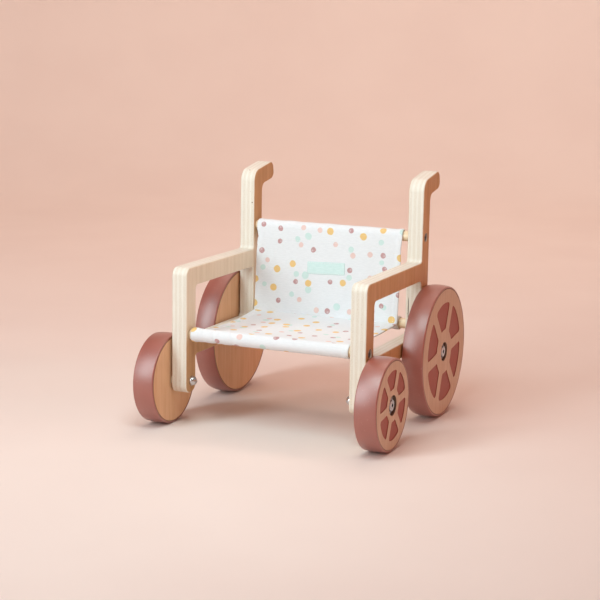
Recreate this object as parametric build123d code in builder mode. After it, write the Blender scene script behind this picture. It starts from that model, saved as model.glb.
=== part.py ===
from build123d import *
import os
from math import acos, cos, degrees, pi, radians, sin, tan

# A wooden doll wheelchair: two plywood side frames held apart by three dowels, a sling of
# cloth sewn round the dowels, and four wooden wheels that turn on bolts.
# Millimetres. The doll faces -Y with its left hand at +X, and +Z is up. The origin lies on
# the floor, under the middle of the chair's length and width.

# Chair
inner_width = 196.4  # clear width between the side frames
ply_thickness = 19.0
tyre_gap = 41.5  # clear length between a front tyre and the rear tyre behind it
edge_round = 1.8  # softened edges of the side frames

# Side frame, seen from the side
leg_depth = 22.5
upright_depth = 22.3
upright_lead = 10.0  # front of the upright ahead of the rear axle
foot_drop = 13.4  # how far a leg and an upright reach below their axles
foot_round = 9.0
rail_over_axle = 2.7  # underside of the rail above the rear axle
rail_depth = 17.5
window_height = 61.9
window_round = 5.0
armrest_depth = 21.6
armrest_round = 9.0
inside_round = 4.0  # inside corners beside an upright and under the rail

# Push handle at the top of an upright
handle_stand = 93.8  # from the armrest up to the corner that the bend rounds off
handle_rise = 10.0  # degrees above level
handle_length = 53.3
handle_depth = 21.0
bend_round = 15.0
grip_round = 9.0  # inside of the bend
tip_round = 8.0

# Dowels and the screws that hold them
dowel_radius = 6.0
front_dowel_lift = 7.5  # above the rail's top
rear_dowel_lift = 8.5
top_dowel_lift = 28.3  # above the armrest's top
screw_radius = 2.0
screw_length = 38.0
screw_head_radius = 4.0
screw_head_height = 2.6
screw_socket = 3.0  # across the flats of the key's socket
screw_socket_depth = 1.5
screw_recess_radius = 5.25
screw_recess_depth = 3.5

# Wheels
wheel_width = 25.2
front_tyre_radius = 51.5
front_tyre_band = 2.7  # thickness of the tyre on its disc, in the middle of the tread
front_tyre_crown = 0.9  # how much thinner the tyre is at its edges
front_hub_radius = 18.0
front_rim_width = 10.3
front_spoke_width = 8.5
rear_tyre_radius = 77.3
rear_tyre_band = 3.3
rear_tyre_crown = 1.6
rear_hub_radius = 26.0
rear_rim_width = 16.3
rear_spoke_width = 12.0
tyre_shoulder = 1.3
spoke_count = 6
spoke_lean = 68.5  # degrees from level for the spoke that points nearly straight up
panel_depth = 0.8  # painted panels between the spokes, sunk into the outer face
panel_round = 4.0
disc_edge_round = 0.7

# Axle of one wheel: bolt, sleeve, washers and cap nut
bolt_radius = 3.0
bolt_head_radius = 6.5
bolt_head_height = 2.3
bolt_head_round = 1.0
bolt_socket = 4.0
bolt_socket_depth = 1.6
sleeve_radius = 4.5
hub_washer_radius = 10.2
hub_washer_thickness = 1.2
hub_recess_radius = 11.2
hub_recess_depth = 4.4
spacer_radius = 8.0
front_spacer_thickness = 2.2
rear_spacer_thickness = 1.2
nut_foot_radius = 5.7
nut_foot_height = 1.6
nut_dome_radius = 5.4
nut_thread_depth = 5.0

# Sling and its label
cloth = 1.2
sling_gap_left = 6.5  # from the sling's side edge to the frame
sling_gap_right = 2.5
seam_reach = 10.5  # from a seat dowel's centre to the seam that closes its tunnel
top_seam_reach = 16.0  # the same at the top of the backrest
tunnel_slack = 0.7
seat_sag = 2.5
label_width = 49.0
label_height = 15.0
label_thickness = 0.5
label_below_seam = 21.6  # from the top seam down to the label's upper edge
label_shift = -2.7  # to the doll's right of the middle
label_turn = 2.0  # degrees, sewn a little askew
label_round = 1.0

# Clearances
turning_clearance = 0.08  # disc on its sleeve, on the radius
end_float = 0.3  # free play of a wheel along its axle, at each end
bolt_clearance = 0.2
thread_clearance = 0.05
tyre_clearance = 0.05
nut_thread_spare = 0.5
pilot_spare = 1.0

# Places that follow from the sizes
length = front_tyre_radius + front_tyre_radius + tyre_gap + rear_tyre_radius + rear_tyre_radius
front_axle = Vector(-length / 2 + front_tyre_radius, front_tyre_radius)
rear_axle = Vector(length / 2 - rear_tyre_radius, rear_tyre_radius)
frame_inside = inner_width / 2
frame_outside = frame_inside + ply_thickness
leg_front = front_axle.X - leg_depth / 2
leg_back = front_axle.X + leg_depth / 2
upright_front = rear_axle.X - upright_lead
upright_back = upright_front + upright_depth
rail_bottom = rear_axle.Y + rail_over_axle
rail_top = rail_bottom + rail_depth
armrest_bottom = rail_top + window_height
armrest_top = armrest_bottom + armrest_depth
front_dowel_centre = Vector(front_axle.X, rail_top + front_dowel_lift)
rear_dowel_centre = Vector(rear_axle.X, rail_top + rear_dowel_lift)
top_dowel_centre = Vector(rear_axle.X, armrest_top + top_dowel_lift)
bolt_hole_radius = bolt_radius + bolt_clearance

os.makedirs("parts", exist_ok=True)


def across(x, centre):
    """The plane that faces +X at x, with its middle at a (Y, Z) point of the side view."""
    return Plane(origin=(x, centre.X, centre.Y), x_dir=(0, 1, 0), z_dir=(1, 0, 0))


def write(piece, name):
    """Names a finished piece and writes it."""
    piece.part.label = name
    export_step(piece.part, f"parts/{name}.step")


def write_pair(piece, name):
    """Writes a piece of the chair's left side, and its mirror image for the right side."""
    with BuildPart() as twin:
        mirror(piece.part, about=Plane.YZ)
    write(piece, f"left_{name}")
    write(twin, f"right_{name}")


def make_ring(plane, outer_radius, inner_radius, thickness):
    """A plain ring that stands on a plane."""
    with BuildPart() as ring:
        with BuildSketch(plane):
            Circle(outer_radius)
            Circle(inner_radius, mode=Mode.SUBTRACT)
        extrude(amount=thickness)
    return ring


# Side frames: leg, armrest, rail, upright and push handle are cut from one board
slope = radians(handle_rise)
handle_along = Vector(cos(slope), sin(slope))
handle_across = Vector(-sin(slope), cos(slope))
bend_corner = Vector(upright_front, armrest_top + handle_stand)
tip_top = bend_corner + handle_along * handle_length
tip_bottom = tip_top - handle_across * handle_depth
bend_inside = Vector(upright_back, tip_bottom.Y - (tip_bottom.X - upright_back) * tan(slope))
leg_foot = front_axle.Y - foot_drop
upright_foot = rear_axle.Y - foot_drop
below_rail = rail_bottom - upright_foot
leg_round = min(foot_round, 0.45 * leg_depth)
upright_round = min(foot_round, 0.45 * upright_depth, 0.65 * below_rail)
under_round = min(inside_round, 0.3 * below_rail)
handle_end_round = min(tip_round, 0.45 * handle_depth)

frame_corners = [
    ((leg_front, leg_foot), leg_round),
    ((leg_front, armrest_top), armrest_round),
    ((upright_front, armrest_top), inside_round),
    (bend_corner, bend_round),
    (tip_top, handle_end_round),
    (tip_bottom, handle_end_round),
    (bend_inside, grip_round),
    ((upright_back, upright_foot), upright_round),
    ((upright_front, upright_foot), upright_round),
    ((upright_front, rail_bottom), under_round),
    ((leg_back, rail_bottom), under_round),
    ((leg_back, leg_foot), leg_round),
]
window_middle = ((leg_back + upright_front) / 2, (rail_top + armrest_bottom) / 2)
dowel_centres = [front_dowel_centre, rear_dowel_centre, top_dowel_centre]

frame_plane = Plane.YZ.offset(frame_inside)
with BuildPart(frame_plane) as side_frame:
    with BuildSketch(frame_plane):
        with BuildLine():
            FilletPolyline(
                *[corner for corner, _ in frame_corners],
                radius=[corner_round for _, corner_round in frame_corners],
                close=True,
            )
        make_face()
        with Locations(window_middle):
            RectangleRounded(upright_front - leg_back, window_height, window_round, mode=Mode.SUBTRACT)
    extrude(amount=ply_thickness)
    fillet(side_frame.faces().filter_by(Axis.X).edges(), edge_round)
    with Locations([(centre.X, centre.Y, ply_thickness) for centre in dowel_centres]):
        CounterBoreHole(screw_radius + thread_clearance, screw_recess_radius, screw_recess_depth)
    with Locations([(axle.X, axle.Y, ply_thickness) for axle in (front_axle, rear_axle)]):
        Hole(bolt_hole_radius)
write_pair(side_frame, "side_frame")


# Dowels, butted between the frames, with a pilot hole for a screw in each end
screw_seat = frame_outside - screw_recess_depth
screw_grip = screw_length - (screw_seat - frame_inside)
pilot_depth = screw_grip + pilot_spare

for dowel_name, centre in zip(("front_dowel", "rear_dowel", "top_dowel"), dowel_centres):
    with BuildPart() as dowel:
        with BuildSketch(across(0, centre)):
            Circle(dowel_radius)
        extrude(amount=frame_inside, both=True)
        with BuildSketch(across(frame_inside, centre)):
            Circle(screw_radius + thread_clearance)
        extrude(amount=-pilot_depth, mode=Mode.SUBTRACT)
        with BuildSketch(across(-frame_inside, centre)):
            Circle(screw_radius + thread_clearance)
        extrude(amount=pilot_depth, mode=Mode.SUBTRACT)
    write(dowel, dowel_name)

with BuildPart() as dowel_screws:
    for centre in dowel_centres:
        with BuildSketch(across(screw_seat, centre)):
            Circle(screw_radius)
        extrude(amount=-screw_length)
        with BuildSketch(across(screw_seat, centre)):
            Circle(screw_head_radius)
        extrude(amount=screw_head_height)
        with BuildSketch(across(screw_seat + screw_head_height, centre)):
            RegularPolygon(screw_socket / 2, 6, major_radius=False)
        extrude(amount=-screw_socket_depth, mode=Mode.SUBTRACT)
    mirror(about=Plane.YZ)
write(dowel_screws, "dowel_screws")


# Wheels: each disc turns on a sleeve that its bolt clamps against the frame
def make_wheel(end, axle, tyre_radius, tyre_band, tyre_crown, hub_radius, rim_width, spoke_width, spacing):
    """Makes the tyre, the disc and the axle's pieces of a front or rear wheel."""
    sleeve_start = frame_outside + spacing
    wheel_inside = sleeve_start + end_float
    wheel_outside = wheel_inside + wheel_width
    sleeve_end = wheel_outside - hub_recess_depth + end_float
    bolt_seat = sleeve_end + hub_washer_thickness
    bolt_length = bolt_seat - frame_inside + nut_thread_depth - nut_thread_spare
    disc_radius = tyre_radius - tyre_band
    bore = disc_radius + tyre_clearance
    tread_edge = max(tyre_radius - tyre_crown, bore + 0.3 * tyre_band)
    wheel_plane = across(wheel_inside, axle)

    section_plane = Plane(origin=wheel_plane.origin, x_dir=(1, 0, 0), z_dir=(0, -1, 0))
    with BuildPart() as tyre:
        with BuildSketch(section_plane) as section:
            with BuildLine():
                Polyline((0, tread_edge), (0, bore), (wheel_width, bore), (wheel_width, tread_edge))
                ThreePointArc((wheel_width, tread_edge), (wheel_width / 2, tyre_radius), (0, tread_edge))
            make_face()
            fillet(section.vertices().group_by(Axis.Y)[-1], min(tyre_shoulder, 0.8 * (tread_edge - bore)))
        revolve(axis=Axis(wheel_plane.origin, (1, 0, 0)))
    write_pair(tyre, f"{end}_tyre")

    panel_outside = disc_radius - rim_width
    panel_foot = 2 * pi * hub_radius / spoke_count - spoke_width
    corner_round = min(panel_round, 0.3 * panel_foot, 0.3 * (panel_outside - hub_radius))
    with BuildPart(wheel_plane) as disc:
        with BuildSketch(wheel_plane):
            Circle(disc_radius)
        extrude(amount=wheel_width)
        fillet(disc.edges().filter_by(GeomType.CIRCLE), disc_edge_round)
        with BuildSketch(across(wheel_outside, axle)) as panels:
            Circle(panel_outside)
            Circle(hub_radius, mode=Mode.SUBTRACT)
            with PolarLocations(panel_outside / 2, spoke_count, start_angle=spoke_lean):
                Rectangle(2 * panel_outside, spoke_width, mode=Mode.SUBTRACT)
            fillet(panels.vertices(), corner_round)
        extrude(amount=-panel_depth, mode=Mode.SUBTRACT)
        with Locations((0, 0, wheel_width)):
            CounterBoreHole(sleeve_radius + turning_clearance, hub_recess_radius, hub_recess_depth)
    write_pair(disc, f"{end}_disc")

    spacer = make_ring(across(frame_outside, axle), spacer_radius, bolt_hole_radius, spacing)
    write_pair(spacer, f"{end}_spacer")
    sleeve_foot = across(sleeve_start, axle)
    sleeve = make_ring(sleeve_foot, sleeve_radius, bolt_hole_radius, sleeve_end - sleeve_start)
    write_pair(sleeve, f"{end}_sleeve")
    washer_foot = across(sleeve_end, axle)
    hub_washer = make_ring(washer_foot, hub_washer_radius, bolt_hole_radius, hub_washer_thickness)
    write_pair(hub_washer, f"{end}_hub_washer")

    bolt_plane = across(bolt_seat, axle)
    with BuildPart() as bolt:
        with BuildSketch(bolt_plane):
            Circle(bolt_head_radius)
        extrude(amount=bolt_head_height)
        fillet(bolt.faces().sort_by(Axis.X)[-1].edges(), min(bolt_head_round, 0.8 * bolt_head_height))
        with BuildSketch(bolt_plane.offset(bolt_head_height)):
            RegularPolygon(bolt_socket / 2, 6, major_radius=False)
        extrude(amount=-bolt_socket_depth, mode=Mode.SUBTRACT)
        with BuildSketch(bolt_plane):
            Circle(bolt_radius)
        extrude(amount=-bolt_length)
    write_pair(bolt, f"{end}_axle_bolt")

    nut_plane = across(frame_inside, axle)
    with BuildPart(nut_plane) as cap_nut:
        with BuildSketch(nut_plane):
            Circle(nut_foot_radius)
        extrude(amount=-nut_foot_height)
        with Locations((0, 0, -nut_foot_height)):
            Sphere(nut_dome_radius)
        with BuildSketch(nut_plane):
            Circle(2 * nut_foot_radius)
        extrude(amount=nut_dome_radius, mode=Mode.SUBTRACT)
        with BuildSketch(nut_plane):
            Circle(bolt_radius + thread_clearance)
        extrude(amount=-nut_thread_depth, mode=Mode.SUBTRACT)
    write_pair(cap_nut, f"{end}_cap_nut")


make_wheel(
    "front",
    front_axle,
    front_tyre_radius,
    front_tyre_band,
    front_tyre_crown,
    front_hub_radius,
    front_rim_width,
    front_spoke_width,
    front_spacer_thickness,
)
make_wheel(
    "rear",
    rear_axle,
    rear_tyre_radius,
    rear_tyre_band,
    rear_tyre_crown,
    rear_hub_radius,
    rear_rim_width,
    rear_spoke_width,
    rear_spacer_thickness,
)


# Sling: one strip of cloth with a sewn tunnel round each dowel
tunnel_inside = dowel_radius + tunnel_slack
tunnel_outside = tunnel_inside + cloth
nearest_seam = tunnel_outside + cloth
seat_seam_distance = max(seam_reach, nearest_seam)
top_seam = top_dowel_centre + Vector(0, -max(top_seam_reach, nearest_seam))
fold_seam = rear_dowel_centre + Vector(-seat_seam_distance, 0)
front_seam = front_dowel_centre + Vector(seat_seam_distance, 0)
seat_middle = (fold_seam + front_seam) / 2 + Vector(0, -seat_sag)
sling_left = frame_inside - sling_gap_left
sling_right = -frame_inside + sling_gap_right

with BuildPart() as sling:
    with BuildSketch(Plane.YZ.offset(sling_right)):
        with BuildLine():
            Polyline(top_dowel_centre, top_seam, fold_seam, rear_dowel_centre)
            ThreePointArc(fold_seam, seat_middle, front_seam)
            Line(front_seam, front_dowel_centre)
        trace(line_width=cloth)
        for centre, seam in zip(dowel_centres, (front_seam, fold_seam, top_seam)):
            towards_seam = (seam - centre).normalized() * tunnel_outside
            tangent_turn = degrees(acos(tunnel_outside / (seam - centre).length))
            with BuildLine():
                Polyline(
                    centre,
                    centre + towards_seam.rotate(Axis.Z, tangent_turn),
                    seam,
                    centre + towards_seam.rotate(Axis.Z, -tangent_turn),
                    close=True,
                )
            make_face()
            with Locations(centre):
                Circle(tunnel_outside)
                Circle(tunnel_inside, mode=Mode.SUBTRACT)
    extrude(amount=sling_left - sling_right)
write(sling, "sling")

# Label, sewn flat on the front of the backrest
back_up = (top_seam - fold_seam).normalized()
back_front = Vector(-back_up.Y, back_up.X)
label_middle = top_seam - back_up * (label_below_seam + label_height / 2) + back_front * (cloth / 2)
label_plane = Plane(
    origin=(label_shift, label_middle.X, label_middle.Y),
    x_dir=(1, 0, 0),
    z_dir=(0, back_front.X, back_front.Y),
)
with BuildPart() as sling_label:
    with BuildSketch(label_plane):
        RectangleRounded(label_width, label_height, label_round, rotation=label_turn)
    extrude(amount=label_thickness)
write(sling_label, "sling_label")
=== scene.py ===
# %% [markdown]
# # Dressing a wooden doll wheelchair
# The chair arrives as solid parts of the right size: two side frames sawn from plywood, three
# dowels, four wheels, their bolts, and a plain stand-in for the cloth seat. This lesson gives every
# part the finish it has on the real toy, and sews a new seat from one strip of dotted cotton.
# Nothing that arrives is moved. We only choose finishes, add the cloth, light it and look at it.

# %% Load the chair
from math import acos, asin, atan2, ceil, cos, pi, radians, sin

import bpy
import numpy as np
from mathutils import Matrix, Vector


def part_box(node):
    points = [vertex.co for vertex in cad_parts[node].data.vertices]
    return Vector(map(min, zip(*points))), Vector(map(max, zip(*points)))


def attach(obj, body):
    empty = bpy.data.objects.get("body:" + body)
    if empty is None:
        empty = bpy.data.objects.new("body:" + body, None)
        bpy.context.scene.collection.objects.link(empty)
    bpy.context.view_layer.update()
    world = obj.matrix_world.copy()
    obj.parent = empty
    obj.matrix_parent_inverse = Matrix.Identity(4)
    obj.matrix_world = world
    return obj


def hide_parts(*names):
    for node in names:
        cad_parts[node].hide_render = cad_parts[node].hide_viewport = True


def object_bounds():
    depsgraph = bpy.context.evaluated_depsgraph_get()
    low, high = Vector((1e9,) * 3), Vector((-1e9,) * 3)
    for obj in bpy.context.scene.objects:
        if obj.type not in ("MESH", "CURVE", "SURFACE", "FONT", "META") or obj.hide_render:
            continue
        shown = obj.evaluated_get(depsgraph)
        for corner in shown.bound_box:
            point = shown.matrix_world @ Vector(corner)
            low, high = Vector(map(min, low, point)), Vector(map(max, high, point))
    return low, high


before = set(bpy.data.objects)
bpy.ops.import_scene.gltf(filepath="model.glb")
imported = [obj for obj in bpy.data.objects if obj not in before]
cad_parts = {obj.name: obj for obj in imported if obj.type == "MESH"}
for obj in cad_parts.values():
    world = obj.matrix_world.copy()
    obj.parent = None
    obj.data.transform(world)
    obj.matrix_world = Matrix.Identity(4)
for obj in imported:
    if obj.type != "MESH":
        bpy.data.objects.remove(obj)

scene = bpy.context.scene
cad_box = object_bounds()
mm = 0.001

# %% [markdown]
# ## The camera
# The chair is seen from in front, a little from its left and a little from above its armrests,
# through a long lens. A camera can be aimed by a constraint, but a place and three angles say the
# same thing more exactly: how far round, how high, and how much the horizon tips.


# %% Stand the camera
def put(name, data):
    """Puts a camera, a lamp or a mesh into the scene as an object."""
    piece = bpy.data.objects.new(name, data)
    scene.collection.objects.link(piece)
    return piece


camera_place = Vector((0.6881, -1.5821, 0.4560))
view_turn = radians(23.77)
view_rise = radians(10.48)
view_roll = radians(0.98)
view_back = Vector((sin(view_turn) * cos(view_rise), -cos(view_turn) * cos(view_rise), sin(view_rise)))
view_level = Vector((cos(view_turn), sin(view_turn), 0))
view_upright = view_back.cross(view_level)
view_right = cos(view_roll) * view_level + sin(view_roll) * view_upright
view_up = cos(view_roll) * view_upright - sin(view_roll) * view_level

lens = bpy.data.cameras.new("portrait_lens")
lens.lens = 91.35
lens.sensor_width = 36.0
camera = put("portrait_camera", lens)
axes = Matrix((view_right, view_up, view_back)).transposed()
camera.matrix_world = Matrix.Translation(camera_place) @ axes.to_4x4()
scene.camera = camera
print("camera stands", round(camera_place.length, 3), "m from the middle of the chair's floor")

# %% [markdown]
# ## Shader nodes without the mouse
# Materials are built from nodes, in code as in the editor. Short helpers keep the later cells
# readable. One adds a node and fills its sockets. The others each stand for one kind of node: sums
# with numbers, sums with places, smooth steps, mixed colours and noise. As in the node editor, one
# tree is open at a time, and the helpers add to that one. Colours are written as they look on a
# screen, 0 to 255, and turned into the linear light values that the renderer works with.

# %% Helpers for nodes
editor = {}


def tint(red, green, blue):
    """A screen colour as linear light, with full alpha."""
    shares = [value / 255 for value in (red, green, blue)]
    return (*[s / 12.92 if s <= 0.04045 else ((s + 0.055) / 1.055) ** 2.4 for s in shares], 1.0)


def feed(socket, value):
    """Links a socket to another one, or sets it to a plain value."""
    if isinstance(value, bpy.types.NodeSocket):
        editor["tree"].links.new(value, socket)
    else:
        socket.default_value = value


def add(kind, inputs=None, **settings):
    """Adds a shader node to the open tree, sets its options and fills its input sockets."""
    made = editor["tree"].nodes.new("ShaderNode" + kind)
    for name, value in settings.items():
        setattr(made, name, value)
    for name, value in (inputs or {}).items():
        feed(made.inputs[name], value)
    return made


def calc(operation, first, second=0.0, third=0.0):
    """One step of arithmetic."""
    return add("Math", {0: first, 1: second, 2: third}, operation=operation).outputs[0]


def times(first, second):
    """Two values multiplied. Of two masks, it keeps what both cover."""
    return calc("MULTIPLY", first, second)


def place_calc(operation, first, second=(0.0, 0.0, 0.0)):
    """One step of arithmetic with places. Some steps give a place, the others a plain value."""
    step = add("VectorMath", {0: first, 1: second}, operation=operation)
    return step.outputs["Value" if operation in ("DISTANCE", "LENGTH", "DOT_PRODUCT") else "Vector"]


def ramp(value, low, high):
    """0 at low, 1 at high, and smooth in between."""
    sockets = {"Value": value, "From Min": low, "From Max": high}
    return add("MapRange", sockets, interpolation_type="SMOOTHSTEP").outputs["Result"]


def mix(share, first, second):
    """The first colour at share 0, the second at share 1."""
    return add("Mix", {0: share, 6: first, 7: second}, data_type="RGBA").outputs[2]


def tinge(mask, share, colour, other):
    """A colour with a share of another one where a mask is 1."""
    return mix(times(mask, share), colour, other)


def stretch(place, scale):
    """A place, scaled by its own amount along each axis."""
    return place_calc("MULTIPLY", place, scale)


def noise(place, scale, detail=3.0):
    """Soft random values around one half."""
    return add("TexNoise", {"Vector": place, "Scale": scale, "Detail": detail}).outputs["Fac"]


def split(place):
    """The X, Y and Z of a place."""
    return add("SeparateXYZ", {0: place}).outputs


print("node helpers ready")

# %% [markdown]
# A material always starts the same way: a Principled shader joined to the output. The places that
# a pattern reads are the object's own, in metres, so a pattern keeps its real scale and turns with
# its wheel.


# %% Helpers for materials and groups
def start_material(name, **plain):
    """A new material, opened, and its shader, with plain values set on the shader."""
    material = bpy.data.materials.new(name)
    material.use_nodes = True
    material.node_tree.nodes.clear()
    editor["tree"] = material.node_tree
    shader = add("BsdfPrincipled")
    add("OutputMaterial", {"Surface": shader.outputs["BSDF"]})
    for socket, value in plain.items():
        shader.inputs[socket.replace("_", " ")].default_value = value
    return material, shader


def own_place():
    """The place on the object, and the direction its surface faces."""
    where = add("TexCoord")
    return where.outputs["Object"], where.outputs["Normal"]


def dress(shader, colour, pattern, dullness, span):
    """Joins a colour to a shader, and a roughness that varies by a span with a pattern."""
    feed(shader.inputs["Base Color"], colour)
    feed(shader.inputs["Roughness"], calc("MULTIPLY_ADD", pattern, span, dullness))


def roughen(shader, height, distance, strength):
    """Lets a height pattern tilt the surface's normal."""
    bump = add("Bump", {"Height": height, "Distance": distance, "Strength": strength})
    feed(shader.inputs["Normal"], bump.outputs["Normal"])


def start_group(name, inputs, outputs):
    """A new node group, opened, with named sockets, and what comes in and what goes out of it."""
    group = bpy.data.node_groups.new(name, "ShaderNodeTree")
    editor["tree"] = group
    for socket, kind in inputs.items():
        group.interface.new_socket(socket, in_out="INPUT", socket_type="NodeSocket" + kind)
    for socket in outputs:
        group.interface.new_socket(socket, in_out="OUTPUT", socket_type="NodeSocketFloat")
    return group, group.nodes.new("NodeGroupInput").outputs, group.nodes.new("NodeGroupOutput").inputs


def place_group(group, **inputs):
    """Puts a group into the open material with that material's own values."""
    sockets = {name.replace("_", " "): value for name, value in inputs.items()}
    return add("Group", sockets, node_tree=group).outputs


print("material helpers ready")

# %% [markdown]
# ## Floor and light
# The chair stands on a plain pale sweep: a floor that curves up into a wall all round, so that no
# corner or horizon shows from any side. A flat plane would be simpler, but its far edge would draw
# a line behind the handles.

# %% Sweep
floor_radius = 2.0
floor_rings = (0.5, 1.5)
wall_radius = 0.9
wall_height = 2.8
sides = 96
bend = [radians(angle) for angle in range(0, 91, 10)]
profile = [(radius, 0.0) for radius in floor_rings]
profile += [(floor_radius + wall_radius * sin(a), wall_radius * (1 - cos(a))) for a in bend]
profile += [(floor_radius + wall_radius, wall_height)]


def smooth_mesh(name, points, faces):
    """A mesh of faces between points, shaded smooth."""
    mesh = bpy.data.meshes.new(name)
    mesh.from_pydata(points, [], faces)
    mesh.polygons.foreach_set("use_smooth", [True] * len(faces))
    return mesh


turns = [2 * pi * k / sides for k in range(sides)]
rings = [[(radius * cos(a), radius * sin(a), z) for a in turns] for radius, z in profile]
points = [(0.0, 0.0, 0.0)] + [point for ring in rings for point in ring]
faces = [(0, 1 + k, 1 + (k + 1) % sides) for k in range(sides)]
for ring in range(len(rings) - 1):
    near, far = 1 + ring * sides, 1 + (ring + 1) * sides
    faces += [(near + k, far + k, far + (k + 1) % sides, near + (k + 1) % sides) for k in range(sides)]
sweep = put("sweep", smooth_mesh("sweep", points, faces))

paper, shader = start_material("pale_paper", Roughness=0.9)
place, _ = own_place()
mottle = ramp(noise(place, 3.0), 0.3, 0.7)
feed(shader.inputs["Base Color"], mix(mottle, tint(236, 220, 212), tint(239, 224, 216)))
sweep.data.materials.append(paper)
print("sweep of", len(faces), "faces")

# %% [markdown]
# The key light is one tall soft box, in front and to the viewer's left, which draws long soft
# highlights on the tyres. A wide weak one overhead evens out the floor, and one behind the chair
# lights the wall. A faint warm one on the viewer's right keeps the shaded sides from going grey. It
# is narrowed, so that it reaches little but the chair. A small white one over the seat does what a
# bounce card would.


# %% Lights
def soft_box(name, place, aim, size, watts, colour, spread=180):
    """An oblong area light that looks from place towards aim, and spreads by so many degrees."""
    lamp = bpy.data.lights.new(name, "AREA")
    lamp.shape = "RECTANGLE"
    lamp.size, lamp.size_y = size
    lamp.energy = watts
    lamp.color = colour[:3]
    lamp.spread = radians(spread)
    box = put(name, lamp)
    box.location = place
    box.rotation_euler = (Vector(aim) - Vector(place)).to_track_quat("-Z", "Y").to_euler()


chair_middle = (cad_box[0] + cad_box[1]) / 2
soft_box("key_light", place=(-0.92, -1.72, 1.15), aim=chair_middle,
         size=(0.6, 1.7), watts=28.5, colour=tint(226, 248, 255))
soft_box("overhead_light", place=(0.0, 0.3, 2.5), aim=(0.0, 0.3, 0.0),
         size=(2.4, 2.4), watts=18.0, colour=tint(255, 216, 202))
soft_box("backdrop_light", place=(-0.2, 1.2, 2.2), aim=(-1.1, 2.7, 0.2),
         size=(1.2, 1.2), watts=23.0, colour=tint(255, 238, 226))
soft_box("warm_fill", place=(1.9, 0.1, 0.7), aim=chair_middle,
         size=(1.2, 1.2), watts=0.8, colour=tint(255, 116, 66), spread=60)
soft_box("seat_card", place=(0.08, -0.40, 0.72), aim=(-0.10, 0.0, 0.15),
         size=(0.3, 0.3), watts=2.4, colour=tint(226, 252, 255))
scene.world = bpy.data.worlds.new("studio_air")
scene.world.use_nodes = True
air = scene.world.node_tree.nodes["Background"]
air.inputs["Color"].default_value = tint(255, 170, 130)
air.inputs["Strength"].default_value = 0.1
scene.view_settings.view_transform = "Standard"

# %% [markdown]
# ## Effects that several finishes share
# A node group is to a material what a function is to a script. Wood grain, worn and lit edges and
# faint handling marks turn up on several parts of the chair, so each is built once here, with named
# sockets, and placed later with values that suit the part.
#
# Grain is noise stretched along the fibres: broad streaks for the growth of the tree, and short
# thin flecks for its pores.

# %% Group: wood grain
wood_grain, take, give = start_group(
    "wood_grain",
    {"Place": "Vector", "Streak Width": "Float", "Streak Length": "Float"},
    ("Streaks", "Flecks", "Height"),
)
across = calc("DIVIDE", 1.0, take["Streak Width"])
along = calc("DIVIDE", 1.0, take["Streak Length"])
fibre_scale = add("CombineXYZ", {0: across, 1: across, 2: along}).outputs[0]
fibres = stretch(take["Place"], fibre_scale)
broad = noise(fibres, 1.0, 5.0)
fine = noise(stretch(fibres, (7.0, 7.0, 1.6)), 1.0)
feed(give["Streaks"], ramp(broad, 0.32, 0.68))
feed(give["Flecks"], ramp(fine, 0.60, 0.74))
feed(give["Height"], calc("MULTIPLY_ADD", fine, -0.6, broad))
print("group:", wood_grain.name, [s.name for s in wood_grain.interface.items_tree])

# %% [markdown]
# Edges wear first, and rounded edges catch the light, so the mask that lightens them is partly wear
# and partly a painted highlight. The Bevel node gives the normal that a rounded edge would have.
# Where it differs from the real normal, an edge is near, and that difference is the mask.

# %% Group: edge wear and painted highlight
edge_wear_and_highlight, take, give = start_group("edge_wear_and_highlight", {"Reach": "Float", "Place": "Vector"}, ("Edge",))
rounded = add("Bevel", {"Radius": take["Reach"]}, samples=4).outputs["Normal"]
straight = add("NewGeometry").outputs["Normal"]
near_edge = ramp(place_calc("DOT_PRODUCT", rounded, straight), 0.995, 0.86)
patchy = ramp(noise(take["Place"], 90.0), 0.25, 0.65)
feed(give["Edge"], times(near_edge, patchy))
print("group:", edge_wear_and_highlight.name)

# %% [markdown]
# Hands leave faint, cloudy differences in gloss, which show only as a highlight moves across them.

# %% Group: handling marks
handling_marks, take, give = start_group(
    "handling_marks", {"Place": "Vector", "Size": "Float"}, ("Clouds", "Specks")
)
cloud_scale = calc("DIVIDE", 1.0, take["Size"])
clouds = noise(take["Place"], cloud_scale, 4.0)
specks = noise(take["Place"], times(cloud_scale, 14.0), 1.0)
feed(give["Clouds"], ramp(clouds, 0.3, 0.7))
feed(give["Specks"], ramp(specks, 0.70, 0.78))
print("group:", handling_marks.name)

# %% [markdown]
# ## Birch plywood
# The side frames are sawn from one board. Their broad faces show the outer veneer, with its grain
# running straight up, also across the armrest, because it is all one board. Their sawn edges show
# the plies: alternately lengthwise and crosswise, with a thin line of glue between. One shader can
# tell the two apart by the way the surface faces, so the board needs no cutting into pieces. The
# veneer is one birch painted in two tones for light: it is browner than birch, partly as painted
# shade, and the inner faces carry a paler band at the height of the armrests, painted light that
# the white seat throws on them. Sawn plies show nicks, a pin knot or two, and here and there a slit
# where a ply was too short, painted dark as the shade in its hollow.

# %% Finish: plywood
frame_low, frame_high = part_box("left_side_frame")
frame_inside = frame_low.x
board = frame_high.x - frame_low.x
ply_count = 7
lit_band_middle, lit_band_half, lit_band_fade = 150 * mm, 45 * mm, 15 * mm
slit_middle = (frame_inside + 3.6 * mm, 62.2 * mm, 125.6 * mm)
slit_half = (0.5 * mm, 1.6 * mm, 15.0 * mm)
slit_depth = 4.0
pin_knots = ((-101.2 * mm, 62.2 * mm, 237.1 * mm), (-108.6 * mm, 70.0 * mm, 275.3 * mm))
knot_radius = 0.9 * mm


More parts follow.
